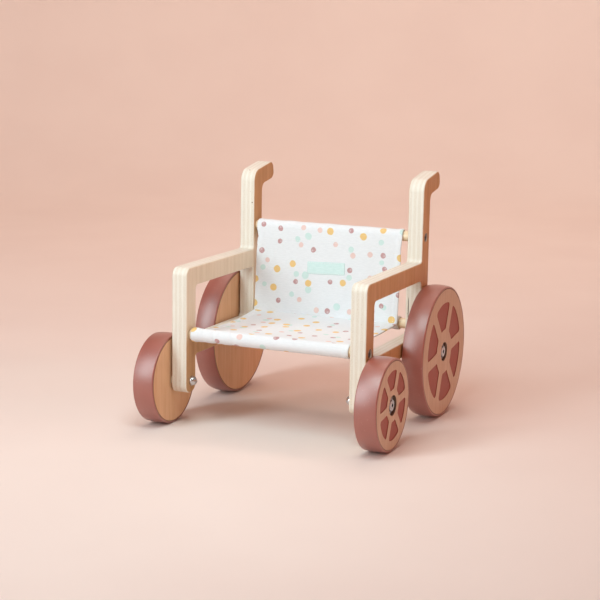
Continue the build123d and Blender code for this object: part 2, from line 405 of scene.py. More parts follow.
def make_plywood():
    """Birch plywood under a clear matt lacquer."""
    material, shader = start_material("birch_plywood", Specular_IOR_Level=0.35)
    place, facing = own_place()
    facing_x = split(facing)["X"]
    broad_face = ramp(calc("ABSOLUTE", facing_x), 0.6, 0.8)
    x, y, z = split(place)
    # The paler band on the inner faces, at the armrests' height, is painted light: bounce from the white
    # seat.
    inward = ramp(times(calc("SIGN", x), facing_x), 0.1, -0.1)
    from_band = calc("ABSOLUTE", calc("SUBTRACT", z, lit_band_middle))
    pale = times(inward, ramp(from_band, lit_band_half + lit_band_fade, lit_band_half - lit_band_fade))

    grain = place_group(wood_grain, Place=place, Streak_Width=6.5 * mm, Streak_Length=90 * mm)
    # The browner veneer is partly painted shade; the paler one is the same birch, painted as lit.
    shade_browned_veneer = mix(grain["Streaks"], tint(194, 150, 104), tint(207, 166, 120))
    bounce_lit_veneer = mix(grain["Streaks"], tint(225, 211, 184), tint(235, 222, 198))
    veneer = mix(pale, shade_browned_veneer, bounce_lit_veneer)
    veneer = tinge(grain["Flecks"], 0.35, veneer, tint(186, 142, 102))

    waver = calc("MULTIPLY_ADD", noise(place, 24.0), 0.5, -0.25)
    depth = calc("SUBTRACT", calc("ABSOLUTE", x), frame_inside)
    depth = calc("MULTIPLY_ADD", depth, ply_count / board, waver)
    crosswise = ramp(calc("PINGPONG", depth, 1.0), 0.42, 0.58)
    from_glue = calc("ABSOLUTE", calc("SUBTRACT", calc("FRACT", depth), 0.5))
    glue = ramp(from_glue, 0.08, 0.0)
    sawn_place = add("CombineXYZ", {0: x, 1: calc("ADD", y, z), 2: 0.0}).outputs[0]
    fibre = noise(stretch(sawn_place, (1500.0, 60.0, 1.0)), 1.0, 2.0)
    end_grain = noise(stretch(sawn_place, (900.0, 900.0, 1.0)), 1.0, 2.0)
    long_ply = mix(ramp(fibre, 0.3, 0.7), tint(228, 219, 205), tint(237, 231, 219))
    cross_ply = mix(ramp(end_grain, 0.3, 0.7), tint(221, 209, 192), tint(231, 223, 208))
    sawn = mix(crosswise, long_ply, cross_ply)
    sawn = tinge(glue, 0.20, sawn, tint(208, 184, 152))
    nicks = noise(stretch(sawn_place, (420.0, 260.0, 1.0)), 1.0, 1.0)
    sawn = tinge(ramp(nicks, 0.74, 0.80), 0.55, sawn, tint(150, 112, 82))
    for knot in pin_knots:
        from_knot = place_calc("DISTANCE", place, knot)
        in_knot = ramp(from_knot, 1.3 * knot_radius, 0.6 * knot_radius)
        sawn = tinge(in_knot, 0.8, sawn, tint(124, 82, 54))

    from_slit = place_calc("SUBTRACT", place, slit_middle)
    from_slit = place_calc("LENGTH", place_calc("DIVIDE", from_slit, slit_half))
    slit = ramp(from_slit, 1.0, 0.8)

    colour = mix(broad_face, sawn, veneer)
    # Lighter edges: partly wear, partly a painted highlight where the rounded edges catch the light.
    worn_and_lit_edge = place_group(edge_wear_and_highlight, Reach=2.2 * mm, Place=place)["Edge"]
    colour = tinge(worn_and_lit_edge, 0.35, colour, tint(248, 238, 222))
    # The slit's dark colour is painted shade for the hollow between plies.
    colour = mix(slit, colour, tint(58, 36, 24))
    marks = place_group(handling_marks, Place=place, Size=35 * mm)
    dress(shader, colour, marks["Clouds"], dullness=0.42, span=0.14)
    height = calc("MULTIPLY_ADD", slit, -slit_depth, grain["Height"])
    roughen(shader, height, 0.12 * mm, 0.6)
    return material


plywood = make_plywood()
print(plywood.name, "with", len(plywood.node_tree.nodes), "nodes,", ply_count, "plies")

# %% [markdown]
# ## Dowels
# The dowels are turned from solid birch, so their grain runs along X, the way they lie. The same
# grain group serves once the place is turned: X goes in where the group expects Z.


# %% Finish: dowels
def make_dowel_wood():
    """Turned birch with its fibres along the dowel."""
    material, shader = start_material("dowel_birch", Specular_IOR_Level=0.35)
    place, _ = own_place()
    x, y, z = split(place)
    turned = add("CombineXYZ", {0: y, 1: z, 2: x}).outputs[0]
    grain = place_group(wood_grain, Place=turned, Streak_Width=2.2 * mm, Streak_Length=60 * mm)
    colour = mix(grain["Streaks"], tint(232, 205, 170), tint(243, 222, 192))
    colour = tinge(grain["Flecks"], 0.3, colour, tint(188, 142, 96))
    marks = place_group(handling_marks, Place=place, Size=20 * mm)
    dress(shader, colour, marks["Clouds"], dullness=0.44, span=0.12)
    roughen(shader, grain["Height"], 0.08 * mm, 0.5)
    return material


dowel_birch = make_dowel_wood()
print(dowel_birch.name, "ready")

# %% [markdown]
# ## Wheel discs
# Each disc is a slice of tan wood with six painted panels sunk between its spokes. The paint lies
# only in the sunk panels, so the shader can find it by depth: a little under the outer face, and
# outside the hub. By depth it also paints the two faces of the one wood in two tones for the light
# on them: the inner face warmer, as painted warm shade, and the outer face pinker, as a painted
# sheen. A thin dark line marks the joint with the tyre, and the bolt's recess is painted dark, as
# shade.

# %% Finish: wheel discs
panel_edge = {"front": 39.2 * mm, "rear": 58.6 * mm}
hub_edge = 11.3 * mm
spoke_root = hub_edge + 2 * mm
outer_layer = 5 * mm
paint_depth = 0.3 * mm
joint_width = 0.95 * mm


def from_axle(place, name):
    """How far a place lies from the axle of a wheel's part, and how deep under its outer face."""
    low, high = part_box(name)
    middle = (low + high) / 2
    x, y, z = split(place)
    upright = add("CombineXYZ", {0: 0.0, 1: y, 2: z}).outputs[0]
    radius = place_calc("DISTANCE", upright, (0.0, middle.y, middle.z))
    return radius, calc("SUBTRACT", high.x, calc("ABSOLUTE", x))


def make_wheel_wood(end):
    """Tan wood with painted panels, for the front or the rear discs."""
    low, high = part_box(f"left_{end}_disc")
    disc_width = high.x - low.x
    disc_radius = (high.z - low.z) / 2
    material, shader = start_material(f"{end}_wheel_wood", Specular_IOR_Level=0.35)
    place, _ = own_place()
    radius, depth = from_axle(place, f"left_{end}_disc")

    grain = place_group(wood_grain, Place=place, Streak_Width=4.5 * mm, Streak_Length=70 * mm)
    # One wood in two tones for light: the outer face pinker, a painted sheen, the inner face warmer,
    # painted warm shade.
    pink_sheen_wood = mix(grain["Streaks"], tint(200, 172, 148), tint(208, 182, 158))
    warm_shade_wood = mix(grain["Streaks"], tint(226, 180, 138), tint(234, 191, 151))
    wood = mix(ramp(depth, outer_layer + 1 * mm, outer_layer), warm_shade_wood, pink_sheen_wood)
    wood = tinge(grain["Flecks"], 0.22, wood, tint(176, 124, 92))
    # Lighter rim edges: partly wear, partly a painted highlight.
    worn_and_lit_edge = place_group(edge_wear_and_highlight, Reach=1.0 * mm, Place=place)["Edge"]
    wood = tinge(worn_and_lit_edge, 0.3, wood, tint(234, 200, 168))
    joint = ramp(radius, disc_radius - joint_width, disc_radius - joint_width + 0.5 * mm)
    wood = tinge(joint, 0.85, wood, tint(70, 34, 30))

    under_outside = ramp(depth, paint_depth / 2, paint_depth)
    at_inside = ramp(depth, disc_width - 0.8 * mm, disc_width - 0.6 * mm)
    sunk = calc("SUBTRACT", under_outside, at_inside)
    # The bolt's recess is painted dark, as shade.
    painted_hub_shade = times(sunk, ramp(radius, hub_edge + 0.4 * mm, hub_edge))
    wood = tinge(painted_hub_shade, 0.75, wood, tint(66, 38, 30))
    past_hub = ramp(radius, spoke_root, spoke_root + 0.5 * mm)
    in_rim = ramp(radius, panel_edge[end], panel_edge[end] - 0.4 * mm)
    painted = times(sunk, times(past_hub, in_rim))
    marks = place_group(handling_marks, Place=place, Size=24 * mm)
    paint = mix(marks["Clouds"], tint(157, 84, 73), tint(164, 91, 80))
    dress(shader, mix(painted, wood, paint), marks["Clouds"], dullness=0.44, span=0.12)
    bare = calc("SUBTRACT", 1.0, painted)
    roughen(shader, times(grain["Height"], bare), 0.1 * mm, 0.5)
    return material


ends_of_chair = ("front", "rear")
wheel_woods = {end: make_wheel_wood(end) for end in ends_of_chair}
print("wheel woods:", [m.name for m in wheel_woods.values()])

# %% [markdown]
# ## Tyres
# The tyres are soft mauve rubber bands with a satin surface. Real rubber is never one flat colour:
# it has cloudy gloss and pale specks of dust, and its shoulders are painted slightly lighter, partly
# for wear and partly as a painted highlight. The strong, rather rough clear coat spreads the key
# light into a broad pale sheen.


# %% Finish: tyres
def make_tyre_rubber():
    """Soft mauve rubber with a satin surface."""
    material, shader = start_material(
        "mauve_rubber", Specular_IOR_Level=1.0, Specular_Tint=tint(255, 240, 234),
        Coat_Weight=1.0, Coat_IOR=1.7, Coat_Roughness=0.42,
    )
    place, _ = own_place()
    marks = place_group(handling_marks, Place=place, Size=30 * mm)
    colour = mix(marks["Clouds"], tint(147, 69, 54), tint(154, 76, 61))
    # Lighter shoulders: partly wear, partly a painted highlight.
    worn_and_lit_edge = place_group(edge_wear_and_highlight, Reach=2.0 * mm, Place=place)["Edge"]
    colour = tinge(worn_and_lit_edge, 0.25, colour, tint(174, 102, 86))
    colour = tinge(marks["Specks"], 0.25, colour, tint(196, 156, 148))
    dress(shader, colour, marks["Clouds"], dullness=0.43, span=0.08)
    roughen(shader, noise(place, 1800.0, 2.0), 0.03 * mm, 0.4)
    return material


mauve_rubber = make_tyre_rubber()
print(mauve_rubber.name, "ready")

# %% [markdown]
# ## Metal and nylon
# The bolts, washers, sleeves and screws are zinc plated and a little dull. The cap nuts are
# polished, so they mirror the soft box as one bright spot. One function makes all the metals, with
# its colour and gloss as the choices. A bolt's key socket is painted dark inside, as shade. The
# shader finds it as it found the panels, by the distance from the axle and by depth. The thin
# spacers behind the wheels are cream nylon.

# %% Finish: metal and nylon
socket_reach = 2.6 * mm


def make_metal(name, shade, dullness, bolt=None):
    """Plated metal with fine turning marks and faint smudges, and painted shade in a bolt's key socket.
    """
    material, shader = start_material(name, Metallic=1.0)
    place, _ = own_place()
    marks = place_group(handling_marks, Place=place, Size=6 * mm)
    dark = tint(*[0.86 * value for value in shade])
    colour = mix(marks["Clouds"], dark, tint(*shade))
    if bolt:
        radius, depth = from_axle(place, bolt)
        # The key socket is painted dark, as shade in the hollow.
        in_reach = ramp(radius, socket_reach + 0.1 * mm, socket_reach)
        painted_socket_shade = times(in_reach, ramp(depth, 0.1 * mm, 0.5 * mm))
        colour = mix(painted_socket_shade, colour, tint(24, 23, 24))
    dress(shader, colour, marks["Clouds"], dullness, span=0.10)
    turning = noise(stretch(place, (5000.0, 900.0, 900.0)), 1.0, 2.0)
    roughen(shader, turning, 0.01 * mm, 0.3)
    return material


def make_nylon():
    """Cream nylon, slightly waxy."""
    material, shader = start_material("cream_nylon")
    place, _ = own_place()
    marks = place_group(handling_marks, Place=place, Size=5 * mm)
    colour = mix(marks["Clouds"], tint(232, 220, 198), tint(243, 233, 214))
    dress(shader, colour, marks["Clouds"], dullness=0.36, span=0.10)
    roughen(shader, noise(place, 2500.0, 2.0), 0.02 * mm, 0.4)
    return material


zinc_look = ((196, 202, 210), 0.24)
zinc = make_metal("zinc_plate", *zinc_look)
bolt_zincs = {
    end: make_metal(f"{end}_bolt_zinc", *zinc_look, bolt=f"left_{end}_axle_bolt")
    for end in ends_of_chair
}
screw_zinc = make_metal("screw_zinc", (138, 134, 132), 0.34)
polished = make_metal("polished_nickel", (226, 226, 228), 0.08)
cream_nylon = make_nylon()
metals = (zinc, *bolt_zincs.values(), screw_zinc, polished)
print("metals:", [m.name for m in metals], "and", cream_nylon.name)

# %% [markdown]
# Each part's name says what it is, so the finishes can be handed out by the end of the name.

# %% Hand out the finishes
finishes = {
    "side_frame": plywood,
    "dowel": dowel_birch,
    "dowel_screws": screw_zinc,
    "front_disc": wheel_woods["front"],
    "rear_disc": wheel_woods["rear"],
    "tyre": mauve_rubber,
    "sleeve": zinc,
    "hub_washer": zinc,
    "front_axle_bolt": bolt_zincs["front"],
    "rear_axle_bolt": bolt_zincs["rear"],
    "cap_nut": polished,
    "spacer": cream_nylon,
}
for name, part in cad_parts.items():
    for ending, finish in finishes.items():
        if name.endswith(ending):
            part.data.materials.clear()
            part.data.materials.append(finish)
print("finished parts:", sum(1 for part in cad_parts.values() if part.data.materials))

# %% [markdown]
# ## The seat's path
# The seat is one strip of cotton. Seen from the side it is a single line: from a hem behind the
# backrest, up and round the top dowel, down the back, round the rear dowel in a sewn tuck, along
# the seat, and round the front dowel to a hem underneath. We draw that line first, because the
# whole strip is only this line, repeated across the chair's width. Each tunnel is shaped like a
# drop: two straight runs from the seam, and an arc round the dowel. The top drop is tilted so that
# its front run and the backrest are one straight line, as a strip pulled tight hangs. At the rear
# fold the layers overlap a little, so that no dark slit shows there.

# %% Draw the path
cloth_thickness = 0.9 * mm
tunnel_slack = 0.9 * mm
top_seam_drop = 15.0 * mm
seam_reach = 10.5 * mm
front_seam_lift = radians(8)
hem_length, hem_drop = 8.0 * mm, 0.6 * mm
seat_sag = 0.8 * mm
panel_step = 3.6 * mm
loop_step = 2.2 * mm
layer_gap = 0.3 * cloth_thickness
fold_overlap = -0.35 * cloth_thickness
fold_steps = np.array([0.5, 1.1, 1.9]) * mm


def seen_from_side(name):
    """A part's middle as (Y, Z)."""
    low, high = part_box(name)
    return np.array([(low.y + high.y) / 2, (low.z + high.z) / 2])


top_dowel, rear_dowel, front_dowel = [
    seen_from_side(name) for name in ("top_dowel", "rear_dowel", "front_dowel")
]
dowel_low, dowel_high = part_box("top_dowel")
tunnel_radius = (dowel_high.z - dowel_low.z) / 2 + tunnel_slack + cloth_thickness / 2


def run(start, end, step, sag=0.0, fine=(False, False)):
    """Points along a run that hangs by sag in its middle, closer together at its fine ends."""
    length = np.linalg.norm(end - start)
    places = np.linspace(0.0, length, max(2, ceil(length / step)) + 1)
    if fine[0]:
        places = np.concatenate([places, fold_steps])
    if fine[1]:
        places = np.concatenate([places, length - fold_steps])
    shares = np.sort(places)[:, None] / length
    hang = np.array([0.0, -4.0 * sag]) * shares * (1 - shares)
    return start + (end - start) * shares + hang


def tunnel(centre, seam, turn, gap=layer_gap):
    """Points from a seam, round a dowel and back, twice the gap apart. The turn is 1 or -1."""
    reach = np.linalg.norm(seam - centre)
    towards = (seam - centre) / reach
    aside = np.array([-towards[1], towards[0]]) * gap * turn
    half = acos(tunnel_radius / reach)
    first = atan2(towards[1], towards[0]) + turn * half
    sweep_angle = turn * (2 * pi - 2 * half)
    count = ceil(abs(sweep_angle) * tunnel_radius / loop_step)
    angles = first + sweep_angle * np.linspace(0.0, 1.0, count + 1)
    arc = centre + tunnel_radius * np.stack([np.cos(angles), np.sin(angles)], axis=1)
    leave = run(seam + aside, arc[0], loop_step)
    return np.concatenate([leave[:-1], arc, run(arc[-1], seam - aside, loop_step)[1:]])


fold_seam = rear_dowel + np.array([-seam_reach, 0.0])
up_to_top = top_dowel - fold_seam
distance = np.linalg.norm(up_to_top)
lean = atan2(up_to_top[1], up_to_top[0]) + asin(tunnel_radius / distance)
back_line = np.array([cos(lean), sin(lean)])
run_length = (distance**2 - tunnel_radius**2) ** 0.5
top_seam = fold_seam + back_line * (run_length - top_seam_drop)
front_seam = front_dowel + seam_reach * np.array([cos(front_seam_lift), sin(front_seam_lift)])

top_tunnel = tunnel(top_dowel, top_seam, 1)
rear_tunnel = tunnel(rear_dowel, fold_seam, -1, fold_overlap)
front_tunnel = tunnel(front_dowel, front_seam, 1)
back_panel = run(top_tunnel[-1], rear_tunnel[0], panel_step, fine=(False, True))
seat_panel = run(rear_tunnel[-1], front_tunnel[0], panel_step, seat_sag, fine=(True, False))
hem_start = run(top_tunnel[0] - back_line * hem_length, top_tunnel[0], panel_step)
hem_end = run(front_tunnel[-1], front_tunnel[-1] + np.array([hem_length, -hem_drop]), panel_step)

stretches = [hem_start, top_tunnel, back_panel, rear_tunnel, seat_panel, front_tunnel, hem_end]
path = np.concatenate([hem_start[:1]] + [part[1:] for part in stretches])
ends = np.cumsum([0] + [len(part) - 1 for part in stretches])
path_length = np.concatenate([[0], np.cumsum(np.linalg.norm(np.diff(path, axis=0), axis=1))])
flat_length = float(path_length[-1])
print("path of", len(path), "points,", round(flat_length / mm), "mm of cloth")

# %% [markdown]
# ## The strip as a sheet
# A sheet of cloth in Blender is a grid of quads. The columns run across the chair, closer together
# where the cloth is gathered, and the rows follow the path. The sides aren't straight: sewing
# gathers the strip at the top seam, and the tight panels pull in between the dowels, most on the
# doll's left. Two tables say how many millimetres each side is pulled in, and where. A UV map keeps
# every point's place on the flat strip, in metres, so that the print and the weave are drawn on flat
# cloth and then bend with it.

# %% Build the sheet
sling_low, sling_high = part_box("sling")
sling_width = sling_high.x - sling_low.x
gathered_width, gathered_step, plain_step = 56.0 * mm, 1.5 * mm, 4.4 * mm
hem_width = 6.5 * mm
near_hem = np.array([8.0, 7.0, 6.0, 5.0, 2.5, 0.0]) * mm
columns = np.concatenate([
    np.arange(0.0, gathered_width, gathered_step),
    np.arange(gathered_width, sling_width - near_hem[0], plain_step),
    sling_width - near_hem,
])
top_hem, top_roll_end, fold, seat_start, front_start = [path_length[row] for row in ends[1:6]]
middle_of_seat = (seat_start + front_start) / 2
over_top, under_top = top_roll_end - 12 * mm, top_roll_end + 14 * mm
pull_right = {
    0.0: 0.6, top_hem: 1.6, top_hem + 18 * mm: -0.4, over_top: 0.4, top_roll_end: 3.0, under_top: 0.6,
    fold: -1.3, seat_start: -1.3, middle_of_seat: 1.6, front_start: -0.2, flat_length: 0.4,
}
pull_left = {
    0.0: 7.0, top_hem: 6.5, top_hem + 15 * mm: 5.5, top_hem + 24 * mm: 3.0, top_hem + 34 * mm: 0.6,
    over_top: 0.4, top_roll_end: 1.8, under_top: 1.4,
    fold: 3.0, seat_start: 3.0, middle_of_seat: 4.6, front_start: -3.5, flat_length: -3.4,
}
pulled_right, pulled_left = [
    np.interp(path_length, list(pull), list(pull.values())) * mm for pull in (pull_right, pull_left)
]
right_edge, left_edge = sling_low.x + pulled_right, sling_high.x - pulled_left
shares = columns / sling_width
grid = np.zeros((len(path), len(columns), 3))
grid[:, :, 0] = right_edge[:, None] + (left_edge - right_edge)[:, None] * shares
grid[:, :, 1:] = path[:, None, :]


def outward(points):
    """The direction that the printed side of the sheet faces at each point."""
    along = np.gradient(points, axis=0)
    sideways = np.gradient(points, axis=1)
    facing = np.cross(along, sideways)
    return facing / np.linalg.norm(facing, axis=2)[:, :, None]


def grid_mesh(name, points, flat_across, flat_along):
    """A mesh of quads through a grid of points, with a UV map of places on the flat cloth."""
    rows, columns = points.shape[:2]
    index = np.arange(rows * columns).reshape(rows, columns)
    quads = np.stack([index[:-1, :-1], index[1:, :-1], index[1:, 1:], index[:-1, 1:]], axis=-1)
    quads = quads.reshape(-1, 4)
    mesh = smooth_mesh(name, points.reshape(-1, 3).tolist(), quads.tolist())
    flat = np.stack(np.broadcast_arrays(flat_across[None, :], flat_along[:, None]), axis=-1)
    places = flat.reshape(-1, 2)[quads.ravel()]
    mesh.uv_layers.new(name="flat_cloth").data.foreach_set("uv", places.astype(np.float32).ravel())
    return mesh


facing = outward(grid)
print("backrest faces", facing[(ends[2] + ends[3]) // 2, len(columns) // 2].round(2))
sling = put("sling_cloth", grid_mesh("sling_cloth", grid, columns, path_length))
print("sheet of", len(sling.data.vertices), "points,", len(sling.data.polygons), "quads")

# %% [markdown]
# ## Gathers and ripples
# Sewn cloth is never flat. The front roll has a few sharp gathers near the doll's right, where the
# strip was drawn onto its dowel, the top roll puckers, and the panels have low ripples. All are
# pushed into the sheet along its own facing direction: the gathers as narrow slanting grooves, each
# with its place, depth and width in millimetres, and the ripples and puckers as a few slow waves with
# random places and paces from a fixed seed. The seat also hangs a little lower on the doll's right.

# %% Push in gathers and ripples
ripple_seed = 7
ripple_count, pucker_count = 9, 6
across_stretch, along_stretch = 1.6, 100 * mm
pucker_height = 0.11 * mm
gather_slant, gather_pivot = 5.0 * mm, 0.4
gathers = ((-81.0, 0.5, 2.4), (-67.3, 1.1, 1.7), (-60.5, 0.9, 1.5), (-46.0, 0.9, 1.6))
seat_lean = 1.3 * mm
rng = np.random.default_rng(ripple_seed)


def arch(first, last):
    """For every row of the path, a half wave that rises and falls between two rows."""
    rise = np.zeros(len(path))
    rise[first : last + 1] = np.sin(pi * np.linspace(0.0, 1.0, last - first + 1))
    return rise


def share_between(start, end):
    """For every row of the path, how much of the way from start to end it has come."""
    return np.clip((path_length - start) / (end - start), 0.0, 1.0)


panel_share = arch(ends[2], ends[3]).clip(0.0) ** 0.7 + arch(ends[4], ends[5]).clip(0.0) ** 0.7
ripples = np.zeros(grid.shape[:2])
for _ in range(ripple_count):
    across_pace, along_pace = rng.uniform(6.0, 30.0), rng.uniform(-9.0, 9.0)
    phase, height = rng.uniform(0.0, 2 * pi), rng.uniform(0.06, 0.20) * mm
    along_wave = along_pace * path_length[:, None] / along_stretch
    ripples += height * np.sin(across_pace * shares * across_stretch + along_wave + phase)
push = ripples * panel_share[:, None]
top_bulge = np.sin(pi * share_between(top_hem, top_roll_end))[:, None]
for _ in range(pucker_count):
    pucker_pace, phase = rng.uniform(18.0, 60.0), rng.uniform(0.0, 2 * pi)
    push += pucker_height * np.sin(pucker_pace * shares + phase) * top_bulge

on_roll = np.zeros(len(path))
on_roll[ends[5] : ends[6] + 1] = 1.0
roll_turn = share_between(front_start, flat_length - hem_length)
roll_bulge = (on_roll * np.sin(pi * roll_turn))[:, None]
for middle, depth, width in gathers:
    slanted = middle * mm + (roll_turn - gather_pivot)[:, None] * gather_slant
    groove = np.exp(-(((grid[:, :, 0] - slanted) / (width * mm)) ** 2))
    push -= depth * mm * groove * roll_bulge
grid += facing * push[:, :, None]
grid[:, :, 2] += arch(ends[4], ends[5])[:, None] * seat_lean * (2 * shares - 1)
print("gathers:", len(gathers), "deepest push", round(push.min() / mm, 2), "mm")

# %% [markdown]
# ## Letting it hang
# The tunnels are tight and sewn, so they stay as drawn: they and a few rows beside each seam go into
# a pinned vertex group. The two panels are free, and a shade longer than the space between their
# seams. Cloth simulation lets them settle under gravity, so that the seat hangs by its own weight and
# the ripples relax. Once it has settled, the shape is copied into the mesh and the modifier is
# removed.

# %% Hang the cloth
settle_frames = 22
cotton_settings = {
    "quality": 8, "mass": 0.02, "tension_stiffness": 40.0, "compression_stiffness": 20.0,
    "shear_stiffness": 8.0, "bending_stiffness": 0.6, "tension_damping": 15.0, "air_damping": 4.0,
    "shrink_min": -0.0004,
}
free_rows = np.zeros(len(path), bool)
free_rows[ends[2] + 2 : ends[3] - 3] = True
free_rows[ends[4] + 4 : ends[5] - 1] = True


def hang(sheet, points):
    """Simulates the free rows of the sheet and returns where its points settle."""
    sheet.data.vertices.foreach_set("co", points.astype(np.float32).ravel())
    sheet.data.update()
    held = np.repeat(~free_rows, points.shape[1])
    pinned = sheet.vertex_groups.new(name="pinned")
    pinned.add([int(k) for k in np.flatnonzero(held)], 1.0, "REPLACE")
    cloth = sheet.modifiers.new("hang", "CLOTH")
    for setting, value in cotton_settings.items():
        setattr(cloth.settings, setting, value)
    cloth.settings.vertex_group_mass = pinned.name
    cloth.collision_settings.use_collision = False
    cloth.point_cache.frame_end = settle_frames
    for step in range(1, settle_frames + 1):
        scene.frame_set(step)
    settled = np.zeros(points.size, np.float32)
    sheet.evaluated_get(bpy.context.evaluated_depsgraph_get()).data.vertices.foreach_get("co", settled)
    sheet.modifiers.remove(cloth)
    sheet.vertex_groups.remove(pinned)
    scene.frame_set(1)
    return settled.reshape(points.shape).astype(float)


settled = hang(sling, grid)
moved = np.linalg.norm(settled - grid, axis=2)
furthest = np.unravel_index(moved.argmax(), moved.shape)
print("cloth settled by up to", round(moved.max() / mm, 1), "mm, at", (grid[furthest] / mm).round())
grid = settled
sling.data.vertices.foreach_set("co", grid.astype(np.float32).ravel())
sling.data.update()

# %% [markdown]
# ## Thickness, hems and softness
# Solidify gives the sheet its thickness. Along the sides the cloth is folded under and sewn, so
# there it is twice as thick, which a vertex group tells the modifier. Subdivision rounds the folds.


# %% Thicken the sheet
def thicken(sheet, thickness):
    """Gives a sheet its thickness and rounds its folds. Returns the modifier that thickens it."""
    thick = sheet.modifiers.new("thickness", "SOLIDIFY")
    thick.thickness = thickness
    thick.offset = 0.0
    soft = sheet.modifiers.new("softness", "SUBSURF")
    soft.levels = soft.render_levels = 1
    return thick


doubled = sling.vertex_groups.new(name="hem")
from_side = np.tile(np.minimum(columns, sling_width - columns), len(path))
for in_hem, weight in ((from_side < hem_width, 1.0), (from_side >= hem_width, 0.5)):
    doubled.add([int(k) for k in np.flatnonzero(in_hem)], weight, "REPLACE")
thick = thicken(sling, 2 * cloth_thickness)
thick.vertex_group = doubled.name
thick.material_offset = 1
evaluated = sling.evaluated_get(bpy.context.evaluated_depsgraph_get())
print("sewn cloth of", len(evaluated.data.polygons), "faces")

# %% [markdown]
# ## Finding a place on the cloth
# The label and the stitches lie on the settled cloth, ripples and all. So we need to ask: where in
# the room is the point that lies this far across and this far along the flat strip, and which way
# does the cloth face there? The grid answers both by blending its four nearest points.

# %% Places on the settled cloth
facing = outward(grid)


def on_cloth(across, along):
    """The place on the cloth's middle layer, and its facing, for metres on the flat strip."""
    row = np.interp(along, path_length, np.arange(len(path)))
    column = np.interp(across, columns, np.arange(len(columns)))
    low_row = np.minimum(row.astype(int), len(path) - 2)
    low_column = np.minimum(column.astype(int), len(columns) - 2)
    part_row, part_column = (row - low_row)[..., None], (column - low_column)[..., None]
    blended = []
    for values in (grid, facing):
        near, far = [
            values[line, low_column] * (1 - part_column) + values[line, low_column + 1] * part_column
            for line in (low_row, low_row + 1)
        ]
        blended.append(near * (1 - part_row) + far * part_row)
    return blended[0], blended[1] / np.linalg.norm(blended[1], axis=-1)[..., None]


label_low, label_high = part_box("sling_label")
label_centre = (label_low + label_high) / 2
back_rows = slice(ends[2], ends[3])
label_along = float(np.interp(-label_centre.z, -path[back_rows, 1], path_length[back_rows]))
label_across = float(label_centre.x - sling_low.x)
print("label sits", round(label_across / mm), "mm across and", round(label_along / mm), "mm along")

# %% [markdown]
# ## The label
# A small woven patch is sewn flat on the backrest, not quite level. It is a little sheet of its own
# that follows the cloth under it, bulges slightly in its middle, and is thin enough to look sewn on
# rather than stuck on. It is left bare.

# %% Sew on the label
label_width, label_height = 49.0 * mm, 15.0 * mm
label_thickness = 0.35 * mm
label_turn = radians(2.0)
label_columns, label_rows = 40, 14
label_gap, label_bulge = 0.03 * mm, 0.15 * mm
corner_share = (0.06, 0.2)
corner_shrink = 0.06


def on_strip(u, v):
    """Where a place on the turned label, measured from its middle, lies across and along the strip."""
    across = label_across + u * cos(label_turn) - v * sin(label_turn)
    return across, label_along - (u * sin(label_turn) + v * cos(label_turn))


across_label = np.linspace(-0.5, 0.5, label_columns + 1)
along_label = np.linspace(0.5, -0.5, label_rows + 1)
patch_u, patch_v = np.meshgrid(across_label, along_label)
near_end, near_side = [
    np.clip(np.abs(2 * patch) - (1 - share), 0, 1) / share
    for patch, share in zip((patch_u, patch_v), corner_share)
]
round_off = 1 - corner_shrink * near_end * near_side
under, label_facing = on_cloth(*on_strip(patch_u * label_width, patch_v * label_height * round_off))
bulge = (1 - (2 * patch_u) ** 6) * (1 - (2 * patch_v) ** 4)
lift = cloth_thickness / 2 + label_thickness / 2 + label_gap + label_bulge * bulge
label_points = under + label_facing * lift[..., None]
flat_across, flat_along = (across_label + 0.5) * label_width, (0.5 - along_label) * label_height
label = put("label_patch", grid_mesh("label_patch", label_points, flat_across, flat_along))
thicken(label, label_thickness)
middle_facing = label_facing[label_rows // 2, label_columns // 2]
print("label of", len(label.data.polygons), "quads, facing", middle_facing.round(2))

# %% [markdown]
# ## Stitches
# Every seam is a row of short stitches. Each stitch is a little thread of its own: a thin rounded
# bead that dips into the cloth at both ends. A table gives places along the bead, its girth there
# and how high it lies. Hundreds of separate objects would be slow, so all the stitches of the seat go
# into one mesh.

# %% Sew the seams
stitch_pitch, stitch_length = 2.8 * mm, 2.1 * mm
thread_radius = 0.21 * mm
thread_sides = 6
look_ahead = 0.4 * mm
bead = [(-0.5, 0.25, -0.5), (-0.3, 0.9, 0.2), (0.0, 1.0, 0.45), (0.3, 0.9, 0.2), (0.5, 0.25, -0.5)]
stitch_points, stitch_faces = [], []


def add_stitch(middle, along, up):
    """Adds one bead of thread that lies along a direction on a surface that faces up."""
    side = np.cross(up, along)
    first = len(stitch_points)
    for share, girth, rise in bead:
        for k in range(thread_sides):
            angle = 2 * pi * k / thread_sides
            ring = side * cos(angle) + up * sin(angle)
            centre = middle + along * share * stitch_length + up * rise * thread_radius
            stitch_points.append(centre + ring * girth * thread_radius)
    for ring in range(len(bead) - 1):
        near, far = first + ring * thread_sides, first + (ring + 1) * thread_sides
        for k in range(thread_sides):
            following = (k + 1) % thread_sides
            stitch_faces.append((near + k, near + following, far + following, far + k))
    stitch_faces.append(tuple(first + k for k in reversed(range(thread_sides))))
    last = first + (len(bead) - 1) * thread_sides
    stitch_faces.append(tuple(last + k for k in range(thread_sides)))


def sew(start, end, height):
    """Sews a row of stitches between two places on the strip, at a height above its middle layer."""
    start, end = np.array(start), np.array(end)
    length = np.linalg.norm(end - start)
    count = int(length / stitch_pitch)
    shares = (np.arange(count) + 0.5) / count
    flat = start + (end - start) * shares[:, None]
    ahead = flat + (end - start) / length * look_ahead
    middles, ups = on_cloth(flat[:, 0], flat[:, 1])
    nexts, _ = on_cloth(ahead[:, 0], ahead[:, 1])
    for middle, up, following in zip(middles, ups, nexts):
        along = (following - middle) / np.linalg.norm(following - middle)
        add_stitch(middle + up * height, along, up)


